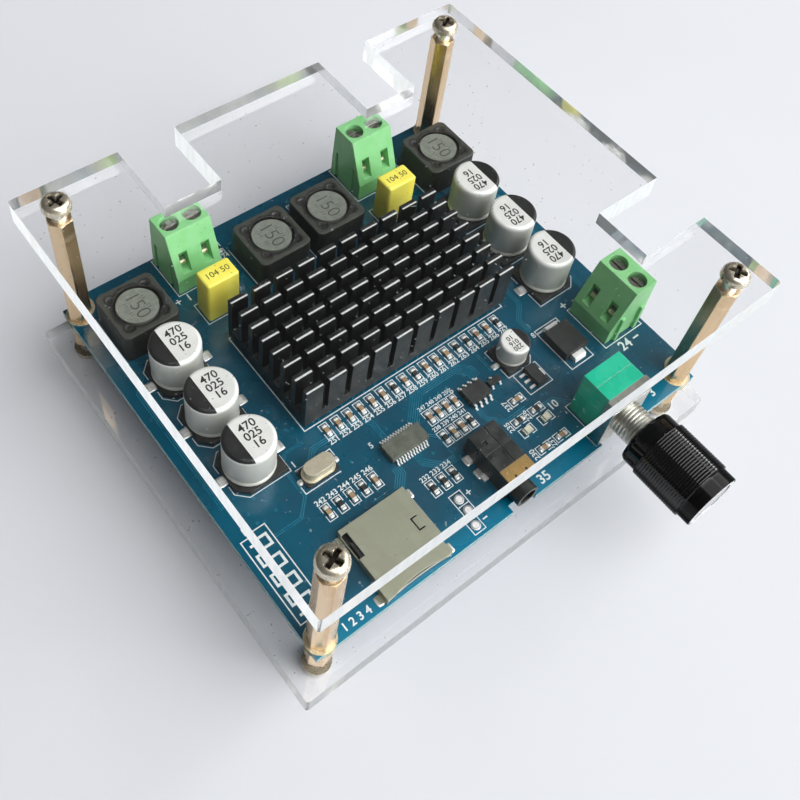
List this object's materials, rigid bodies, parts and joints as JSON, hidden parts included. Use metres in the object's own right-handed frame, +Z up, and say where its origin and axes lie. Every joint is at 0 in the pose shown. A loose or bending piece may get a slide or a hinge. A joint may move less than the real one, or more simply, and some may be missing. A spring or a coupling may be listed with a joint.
{
  "type": "audio amplifier board",
  "caption": "Stereo audio amplifier board between two clear plates, with finned heatsink, filter capacitors, screw terminals, volume knob, audio jack and card socket.",
  "frame": {"origin": "middle of the outline, on the surface that the lower screw heads stand on", "axes": "+Z up through the board, +Y towards the loudspeaker terminals, +X towards the supply terminal; the knob points along -Y"},
  "size_m": [0.1024, 0.1094, 0.0493],
  "materials": {
    "clear_acrylic": "clear cast acrylic, polished",
    "brass": "bright turned brass, thinly plated",
    "nickel": "nickel plated steel",
    "circuit_laminate": "blue solder mask with white legend",
    "black_anodised": "satin black anodised, bare on saw cuts",
    "can_aluminium": "satin coated aluminium can with black mark",
    "black_plastic": "moulded, fine matte",
    "grey_plastic": "moulded, dusty grey",
    "ferrite": "sintered ferrite, matte",
    "core_ferrite": "ground ferrite face",
    "yellow_film": "glossy moulded box",
    "green_plastic": "moulded, satin",
    "tin": "bright tin and solder",
    "tan_ceramic": "fired ceramic",
    "led_resin": "pale diffusing resin",
    "teal_plastic": "smooth moulded resin",
    "mirror_face": "polished",
    "gold_metal": "satin"
  },
  "bodies": {
    "board": {"bottom_plate": "clear_acrylic", "top_plate": "clear_acrylic", "lower_standoffs": "brass", "upper_standoffs": "brass", "bottom_screws": "nickel", "top_screws": "nickel", "circuit_board": "circuit_laminate", "heatsink": "black_anodised", "amplifier_chip": "black_plastic", "filter_capacitor_1": "can_aluminium", "filter_capacitor_2": "can_aluminium", "filter_capacitor_3": "can_aluminium", "filter_capacitor_4": "can_aluminium", "filter_capacitor_5": "can_aluminium", "filter_capacitor_6": "can_aluminium", "small_capacitor": "can_aluminium", "part_bases": "black_plastic", "inductor_1": "ferrite", "inductor_2": "ferrite", "inductor_3": "ferrite", "inductor_4": "ferrite", "inductor_cores": "core_ferrite", "film_capacitor_1": "yellow_film", "film_capacitor_2": "yellow_film", "terminal_housing_1": "green_plastic", "terminal_housing_2": "green_plastic", "terminal_housing_3": "green_plastic", "terminal_contacts": "tin", "rectifier_diode": "black_plastic", "regulator": "black_plastic", "transistor": "black_plastic", "preamp_chip": "black_plastic", "decoder_chip": "grey_plastic", "crystal": "nickel", "component_leads": "tin", "chip_resistors": "black_plastic", "chip_capacitors": "tan_ceramic", "indicator_leds": "led_resin", "pot_body": "teal_plastic", "pot_front_plate": "nickel", "jack_body": "black_plastic", "jack_cover": "gold_metal", "card_shield": "nickel", "card_base": "black_plastic"},
    "knob": {"pot_shaft": "nickel", "volume_knob": "black_anodised", "knob_face": "mirror_face"},
    "slider": {"card_slider": "black_plastic"},
    "screw_1": {"terminal_screw_1": "nickel"},
    "clamp_1": {"wire_clamp_1": "nickel"},
    "screw_2": {"terminal_screw_2": "nickel"},
    "clamp_2": {"wire_clamp_2": "nickel"},
    "screw_3": {"terminal_screw_3": "nickel"},
    "clamp_3": {"wire_clamp_3": "nickel"},
    "screw_4": {"terminal_screw_4": "nickel"},
    "clamp_4": {"wire_clamp_4": "nickel"},
    "screw_5": {"terminal_screw_5": "nickel"},
    "clamp_5": {"wire_clamp_5": "nickel"},
    "screw_6": {"terminal_screw_6": "nickel"},
    "clamp_6": {"wire_clamp_6": "nickel"}
  },
  "joints": [
    {"name": "volume_turn", "type": "hinge", "parent": "board", "child": "knob", "pos_m": [0.0246, -0.03735, 0.0216], "axis": [0, -1, 0], "range_deg": [-150, 150]},
    {"name": "clamp_screw_1", "type": "hinge", "parent": "board", "child": "screw_1", "pos_m": [-0.02459, 0.0474, 0.0271], "axis": [0, 0, -1], "range_deg": [0, 1874]},
    {"name": "clamp_rise_1", "type": "slide", "parent": "board", "child": "clamp_1", "axis": [0, 0, 1], "range_m": [0, 0.0026]},
    {"name": "clamp_screw_2", "type": "hinge", "parent": "board", "child": "screw_2", "pos_m": [-0.01951, 0.0474, 0.0271], "axis": [0, 0, -1], "range_deg": [0, 1874]},
    {"name": "clamp_rise_2", "type": "slide", "parent": "board", "child": "clamp_2", "axis": [0, 0, 1], "range_m": [0, 0.0026]},
    {"name": "clamp_screw_3", "type": "hinge", "parent": "board", "child": "screw_3", "pos_m": [0.02101, 0.0474, 0.0271], "axis": [0, 0, -1], "range_deg": [0, 1874]},
    {"name": "clamp_rise_3", "type": "slide", "parent": "board", "child": "clamp_3", "axis": [0, 0, 1], "range_m": [0, 0.0026]},
    {"name": "clamp_screw_4", "type": "hinge", "parent": "board", "child": "screw_4", "pos_m": [0.02609, 0.0474, 0.0271], "axis": [0, 0, -1], "range_deg": [0, 1874]},
    {"name": "clamp_rise_4", "type": "slide", "parent": "board", "child": "clamp_4", "axis": [0, 0, 1], "range_m": [0, 0.0026]},
    {"name": "clamp_screw_5", "type": "hinge", "parent": "board", "child": "screw_5", "pos_m": [0.04295, -0.01021, 0.0271], "axis": [0, 0, -1], "range_deg": [0, 1874]},
    {"name": "clamp_rise_5", "type": "slide", "parent": "board", "child": "clamp_5", "axis": [0, 0, 1], "range_m": [0, 0.0026]},
    {"name": "clamp_screw_6", "type": "hinge", "parent": "board", "child": "screw_6", "pos_m": [0.04295, -0.01529, 0.0271], "axis": [0, 0, -1], "range_deg": [0, 1874]},
    {"name": "clamp_rise_6", "type": "slide", "parent": "board", "child": "clamp_6", "axis": [0, 0, 1], "range_m": [0, 0.0026]},
    {"name": "card_push", "type": "slide", "parent": "board", "child": "slider", "axis": [0, 1, 0], "range_m": [0, 0.0018], "stiffness_N_per_m": 60}
  ],
  "couplings": [
    {"joint": "clamp_screw_1", "follows": "clamp_rise_1", "rad_per_m": 12566},
    {"joint": "clamp_screw_2", "follows": "clamp_rise_2", "rad_per_m": 12566},
    {"joint": "clamp_screw_3", "follows": "clamp_rise_3", "rad_per_m": 12566},
    {"joint": "clamp_screw_4", "follows": "clamp_rise_4", "rad_per_m": 12566},
    {"joint": "clamp_screw_5", "follows": "clamp_rise_5", "rad_per_m": 12566},
    {"joint": "clamp_screw_6", "follows": "clamp_rise_6", "rad_per_m": 12566}
  ]
}
